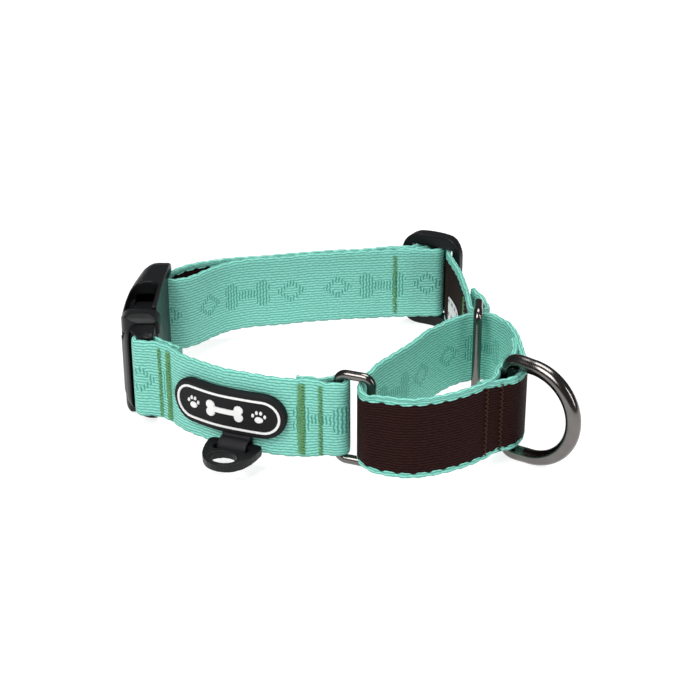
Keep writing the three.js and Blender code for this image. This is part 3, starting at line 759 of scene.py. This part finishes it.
def zigzag(name, path, centre, side, width, height, pitch, material, rng):
    """A bar tack: one thread run from side to side up the strap, dipping in at each turn."""
    rows = round(height / pitch)
    share = (0.0, 0.18, 0.5, 0.82)  # of the way across
    lift = (-0.35, 0.1, 0.2, 0.1)  # out of the webbing's face there, in millimetres
    across, up, out = [], [], []
    for row in range(rows):
        direction = 1 if row % 2 else -1
        reach = width * (0.5 + rng.uniform(-0.09, 0.09))
        base = -height / 2 + row * pitch + rng.uniform(-0.12, 0.12) * pitch
        for t, rise in zip(share, lift):
            across.append(direction * reach * (2 * t - 1))
            up.append(base + t * pitch)
            out.append(WEB / 2 + (rise + rng.uniform(-0.04, 0.05)) * MM)
    spots = on_face(path, centre, side, across, MID_Z + np.array(up), out)
    at = centre - side * np.array(across)
    normal = [np.interp(at, lengths(path), left_of(path)[:, k]) * side for k in (0, 1)]
    outward = np.stack([*normal, np.zeros(len(at))], axis=1)
    rounded = smooth(spots, 0.2 * MM)
    along = lengths(spots) / lengths(spots)[-1]
    t = np.linspace(0, 1, len(rounded))
    facing = np.stack([np.interp(t, along, outward[:, k]) for k in range(3)], axis=1)
    return tube(name, rounded, THREAD_R, 6, facing, material)


def tacks():
    """All the bar tacks, on the collar unless they move with the slider; the one at ring B is on no
    body.
    """
    rng = random.Random(7)
    for name, (path, spot, side, width, height, thread, pitch) in TACKS.items():
        centre = place_on(path, plan_point(spot))
        made = zigzag(name + "_thread", path, centre, side, width * MM, height * MM, pitch * MM,
                      thread, rng)
        slot = "brown_thread" if thread is BROWN_THREAD else "green_thread"
        if name == "tack_ring_b":
            place(made, None, slot, name)
            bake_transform(made)
        else:
            place(made, "slider" if name == "tack_slider_fold" else "collar", slot, name)


tacks()


# ---- buckle, slider and tag ring -------------------------------------------------------------
def moulded_parts():
    parts = [  # (name, CAD node, body, voxel in millimetres)
        ("buckle_plug", "buckle_male", "collar", 0.27),
        ("buckle_upper_arm", "buckle_prong_upper", "upper_prong", 0.2),
        ("buckle_lower_arm", "buckle_prong_lower", "lower_prong", 0.2),
        ("buckle_socket_shell", "buckle_female", "buckle_socket", 0.27),
        ("slider_plate", "slider", "slider", 0.25),
        ("tag_ring_plate", "tag_ring", "tag_ring", 0.18),
    ]
    for name, node, body, voxel in parts:
        made = moulded(name, node, PLASTIC, voxel * MM)
        place(made, body, "black_plastic")


moulded_parts()


# ---- rings -----------------------------------------------------------------------------------
WIRE_STEP = 0.6 * MM  # spacing of the sections of a wire


def upright(first, second, outline):
    """Points of an outline in the vertical plane from one plan point towards another."""
    along = (second - first) / np.linalg.norm(second - first)
    x, z = outline[:, 0], outline[:, 1]
    return np.stack([first[0] + x * along[0], first[1] + x * along[1], z], axis=1)


def plane_normal(first, second):
    """The level direction square to the vertical plane through two plan points."""
    along = (second - first) / np.linalg.norm(second - first)
    return np.array([-along[1], along[0], 0.0])


def square_ring(name, node, body, first, second):
    """A rectangular ring of round wire from its first bar to its second."""
    corner = RING_CORNER
    wide = np.linalg.norm(second - first)
    low, high = MID_Z - RING_HALF + RING_R, MID_Z + RING_HALF - RING_R
    centres = [(wide - corner, low + corner, -90), (wide - corner, high - corner, 0),
               (corner, high - corner, 90), (corner, low + corner, 180)]
    arcs = [around(np.array([x, z]), corner, a, a + 90, 8) for x, z, a in centres]
    outline = smooth(sides_filled(arcs), WIRE_STEP, closed=True)
    made = tube(name, upright(first, second, outline), RING_R, 20, plane_normal(first, second),
                METAL, closed=True)
    place(made, body, "gunmetal", node)


def sides_filled(arcs):
    """The arcs of a closed outline with points along the straight stretches between them."""
    filled = []
    for arc, following in zip(arcs, [*arcs[1:], arcs[0]]):
        filled.append(arc)
        gap = following[0] - arc[-1]
        count = int(np.linalg.norm(gap) / (1.5 * MM))
        share = (np.arange(1, count) / count)[:, None] if count > 1 else np.empty((0, 1))
        filled.append(arc[-1] + gap * share)
    return np.vstack(filled)


def leash_ring():
    """A straight bar and a round bow, in heavier wire."""
    bow = HEIGHT / 2 - LEASH_RING_R - 0.1 * MM
    arc = around(np.array([LEASH_RING_REACH, 0]), bow, 90, -90, 24)
    top = [(0, 3), (0, 6), (0, 9), (0.1, bow / MM - 1.5), (1.6, bow / MM - 0.05)]
    near = np.array(top) * MM
    below = near[::-1] * (1, -1)
    outline = smooth(np.vstack([[0, 0], near, arc, below]), WIRE_STEP, closed=True)
    far = D_BAR + np.array([math.cos(LEASH_RING_TURN), math.sin(LEASH_RING_TURN)])
    points = upright(D_BAR, far, outline + (0, MID_Z))
    made = tube("leash_ring_wire", points, LEASH_RING_R, 24, plane_normal(D_BAR, far), METAL,
                closed=True)
    place(made, "leash_ring", "gunmetal", "d_ring")


square_ring("ring_a_wire", "ring_a", "ring_a", RING_A_BAR, RING_A_FAR)
square_ring("ring_b_wire", "ring_b", "ring_b", RING_B_BAR, RING_B_FAR)
leash_ring()


# ---- patch -----------------------------------------------------------------------------------
PATCH_AT = place_on(FRONT_FACE, plan_point((-34.6, -66.6)))
PATCH_LONG, PATCH_HIGH, PATCH_THICK = 36.5 * MM, 13.8 * MM, 2.4 * MM
PATCH_Z = MID_Z + 0.4 * MM
PATCH_TOP = WEB / 2 + 0.1 * MM + PATCH_THICK


def pill(inset, end_steps=14, side_points=24):
    """A rectangle with fully round ends, drawn the same way round for every inset."""
    radius = PATCH_HIGH / 2 - inset
    flat = (PATCH_LONG - PATCH_HIGH) / 2
    right = around(np.array([flat, 0]), radius, -90, 90, end_steps)
    left = around(np.array([-flat, 0]), radius, 90, 270, end_steps)
    run = np.linspace(flat, -flat, side_points)[1:-1, None]
    top = np.hstack([run, np.full_like(run, radius)])
    bottom = np.hstack([-run, np.full_like(run, -radius)])
    return np.vstack([right, top, left, bottom])


def on_patch(outline, out):
    """Drawn points on the curved front of the strap, under or on the patch."""
    return on_face(FRONT_FACE, PATCH_AT, -1, outline[:, 0], PATCH_Z + outline[:, 1],
                   np.full(len(outline), out))


def patch_body():
    """A soft slab with an eased edge, a low rim and a shallow dished middle. Its rings run in
    from the middle of its back, so that its back and its front both follow the strap's curve."""
    base = WEB / 2 + 0.05 * MM
    profile = [(6.88, 0.0), (5.0, 0.0), (3.4, 0.0), (1.8, 0.0),
               (0.2, 0.0), (0.03, 0.15), (0.0, 0.4), (0.0, 1.5), (0.06, 1.9), (0.25, 2.25),
               (0.55, 2.4), (0.9, 2.44), (1.5, 2.42), (1.9, 2.36), (2.7, 2.3), (3.6, 2.24),
               (5.0, 2.22), (6.6, 2.22), (6.88, 2.22)]
    rings = [on_patch(pill(inset * MM), base + rise * MM) for inset, rise in profile]
    made = skin("patch_rubber", np.stack(rings), [RUBBER])
    place(made, "collar", "black_rubber", "patch")


def patch_border():
    """The raised white line, oval in section and half sunk in the rubber."""
    turn = np.linspace(0, 2 * math.pi, 14, endpoint=False)
    inset = (2.0 - 0.38 * np.cos(turn)) * MM
    rise = PATCH_TOP - 0.05 * MM + 0.32 * MM * np.sin(turn)
    rings = np.stack([on_patch(pill(i), r) for i, r in zip(inset, rise)])
    made = skin("patch_border_line", rings, [WHITE], closed=True)
    place(made, "collar", "white_print", "patch_border")


def disc(x, y, cx, cy, rx, ry=None):
    """Roughly how far a point is outside an oval, negative inside, in millimetres."""
    ry = ry or rx
    return (np.hypot((x - cx) / rx, (y - cy) / ry) - 1) * min(rx, ry)


def mark_distance(x, y):
    """Distance outside the patch's mark: a dog bone between two paw prints."""
    far_x, far_y = np.abs(x) - 4.3, np.abs(y) - 1.15
    knobs = np.hypot(far_x, far_y) - 1.4
    shank = np.maximum(np.abs(y) - 0.85, np.abs(x) - 4.3)
    paw_x = np.abs(x) - 10.4
    pad = disc(paw_x, y, 0, -0.85, 1.25, 0.95)
    toes = [disc(paw_x, y, tx, ty, 0.42, 0.62)
            for tx, ty in ((-1.75, 0.35), (-0.62, 1.35), (0.62, 1.35), (1.75, 0.35))]
    return np.minimum.reduce([knobs, shank, pad, *toes])


# the mark's relief in millimetres: its sheet's depth, its shapes' rise from there, their slopes
MARK_SUNK, MARK_STEP, MARK_EDGE = 0.45, 0.72, 0.36


def patch_mark():
    """White shapes that rise out of the rubber; the rest of their sheet lies under it."""
    half_x, half_y, step = 13.0, 3.2, 0.16  # of the sheet, in millimetres
    across = np.arange(-half_x, half_x + step / 2, step)
    up = np.arange(-half_y, half_y + step / 2, step)
    x, y = np.meshgrid(across, up)
    inside = np.clip(0.5 - mark_distance(x, y) / MARK_EDGE, 0, 1)
    rise = -MARK_SUNK + MARK_STEP * smoothstep(inside)
    surface = PATCH_TOP - 0.1 * MM
    top = on_face(FRONT_FACE, PATCH_AT, -1, x * MM, PATCH_Z + y * MM, surface + rise * MM)
    bottom = on_face(FRONT_FACE, PATCH_AT, -1, x * MM, PATCH_Z + y * MM,
                     np.full_like(x, surface - 0.9 * MM))
    rows, columns = x.shape
    sheet = grid_faces(rows, columns, False, False)
    under = sheet[:, ::-1] + rows * columns
    rim = np.concatenate([np.arange(columns), np.arange(2, rows) * columns - 1,
                          np.arange(rows * columns - 1, (rows - 1) * columns - 1, -1),
                          np.arange(rows - 2, 0, -1) * columns])
    following = np.roll(rim, -1)
    size = rows * columns
    walls = np.stack([rim, following, following + size, rim + size], axis=1)
    mesh = bpy.data.meshes.new("patch_mark")
    points = np.vstack([top.reshape(-1, 3), bottom.reshape(-1, 3)])
    mesh.from_pydata(points.tolist(), [], np.vstack([sheet, under, walls]).tolist())
    mesh.polygons.foreach_set("use_smooth", [True] * len(mesh.polygons))
    made = finished("patch_bone_mark", mesh, [WHITE])
    place(made, "collar", "white_print", "patch_icon")


patch_body()
patch_border()
patch_mark()


# ---- ribbon and label ------------------------------------------------------------------------
def band(name, middle, normal, across, width, thick, material, columns=10):
    """A thin woven band along points, with its width in one direction."""
    section = band_section(width / 2, thick / 2, columns, arc_steps=5)
    out, up, texture, _ = (x[None, :, None] for x in section)
    points = middle[:, None] + normal[:, None] * out + np.asarray(across) * up
    far = lengths(middle)[:, None]
    uv = np.stack(np.broadcast_arrays(far / MM, texture[..., 0] / MM), axis=-1)
    return skin(name, points, [material], uv=uv)


TAG_AT = place_on(FRONT_FACE, plan_point((-31.68, -67.84)))
TAG_PIVOT = np.array([3.9, 6.7]) * MM  # of the tag ring's bar: out from the strap's middle, and up
RIBBON_R = 2.62 * MM  # of the ribbon's loop about it
RIBBON_WIDE, RIBBON_THICK = 9 * MM, 0.62 * MM


def tag_ribbon():
    """Two layers down from under the patch and a loop about the tag ring's bar."""
    spot = np.array([np.interp(TAG_AT, lengths(FRONT_FACE), FRONT_FACE[:, k]) for k in (0, 1)])
    along = directions(FRONT_FACE)[nearest_index(FRONT_FACE, spot)]
    outward = np.array([along[1], -along[0]])
    line = np.vstack([
        np.array([(2.5, 12.6), (2.5, 11.1), (2.75, 9.9)]) * MM,
        around(TAG_PIVOT, RIBBON_R, 104, -172, 22),
        np.array([(1.5, 8.9), (1.6, 11.1), (1.6, 12.6)]) * MM,
    ])
    line = smooth(line, 0.4 * MM)
    turned = left_of(line)
    middle = np.column_stack([spot + line[:, :1] * outward, line[:, 1]])
    normal = np.column_stack([turned[:, :1] * outward, turned[:, 1]])
    made = band("tag_ribbon_fabric", middle, normal, (*along, 0), RIBBON_WIDE, RIBBON_THICK,
                RIBBON)
    place(made, "collar", "black_ribbon", "tag_ribbon")


LABEL_LONG, LABEL_HIGH, LABEL_THICK = 15 * MM, 12 * MM, 0.3 * MM
LABEL_Z = MID_Z - 6.2 * MM
LABEL_STEPS = 4  # coarse steps along the side's route to the label's middle


def care_label():
    """A white woven label on the neck face of the adjusting strap, its ends lifting a little."""
    centre = lengths(smooth(SIDE_ROUTE, COARSE_STEP))[LABEL_STEPS]
    share = np.linspace(-1, 1, 31)
    across = share * LABEL_LONG / 2
    lift = 0.25 * MM * share**4
    middle = on_face(SIDE_FACE, centre, -1, across, LABEL_Z, WEB / 2 + 0.22 * MM + lift)
    at = centre + across
    normal = np.stack([*(-np.interp(at, lengths(SIDE_FACE), left_of(SIDE_FACE)[:, k])
                         for k in (0, 1)), np.zeros(len(at))], axis=1)
    made = band("care_label_cloth", middle, normal, (0, 0, 1), LABEL_HIGH, LABEL_THICK, LABEL,
                columns=16)
    place(made, None, "label_cloth", "care_label")
    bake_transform(made)


tag_ribbon()
care_label()


# ---- floor, light and camera -----------------------------------------------------------------
LIGHT_AIM = Vector((0, 0, 15 * MM))
CAMERA_AIM = Vector((2.8 * MM, 24.9 * MM, 4.2 * MM))
CAMERA_TILT = math.radians(25)  # below level
CAMERA_FAR = 515 * MM
CAMERA_LENS, CAMERA_SENSOR = 79.97, 36  # millimetres


def floor():
    """A bright pale floor, which lights the collar's lower edges too."""
    surface = Surface("pale_floor", Roughness=0.9, Specular_IOR_Level=0.1)
    tone = surface.noise(6, 2.0)
    surface.shader.inputs["Emission Color"].default_value = (1, 1, 1, 1)
    surface.shader.inputs["Emission Strength"].default_value = 0.8
    material = surface.finish(surface.blend(tone, (0.42, 0.42, 0.42), (0.44, 0.44, 0.44)))
    bpy.ops.mesh.primitive_plane_add(size=12)
    made = bpy.context.object
    made.name = "floor"
    made.data.materials.append(material)


def softbox(name, location, size, power):
    """A rectangular light aimed at the middle of the collar, in metres and watts."""
    lamp = bpy.data.lights.new(name, "AREA")
    lamp.shape, lamp.size, lamp.size_y, lamp.energy = "RECTANGLE", size[0], size[1], power
    made = bpy.data.objects.new(name, lamp)
    made.location = location
    made.rotation_euler = (LIGHT_AIM - Vector(location)).to_track_quat("-Z", "Y").to_euler()
    bpy.context.scene.collection.objects.link(made)


def lights():
    """A dim studio world, with a key light, a light from above and an edge light."""
    world = bpy.data.worlds.new("studio")
    world.use_nodes = True
    background = world.node_tree.nodes["Background"]
    background.inputs["Color"].default_value = (0.95, 0.98, 1.0, 1)
    background.inputs["Strength"].default_value = 0.11
    bpy.context.scene.world = world
    softbox("key", (-0.35, -0.55, 0.62), (0.45, 0.45), 5.6)
    softbox("top", (0.1, 0.15, 0.9), (0.5, 0.5), 5.2)
    softbox("right", (0.62, -0.35, 0.35), (0.12, 0.4), 1.2)


def camera():
    """Looks along +Y and down at the collar, with a short telephoto lens."""
    data = bpy.data.cameras.new("camera")
    data.sensor_width, data.lens = CAMERA_SENSOR, CAMERA_LENS
    data.clip_start, data.clip_end = 0.01, 50
    made = bpy.data.objects.new("camera", data)
    back = Vector((0, -math.cos(CAMERA_TILT), math.sin(CAMERA_TILT)))
    made.location = CAMERA_AIM + CAMERA_FAR * back
    made.rotation_euler = (math.pi / 2 - CAMERA_TILT, 0, 0)
    bpy.context.scene.collection.objects.link(made)
    bpy.context.scene.camera = made


floor()
lights()
camera()
bpy.context.scene.view_settings.view_transform = "Standard"
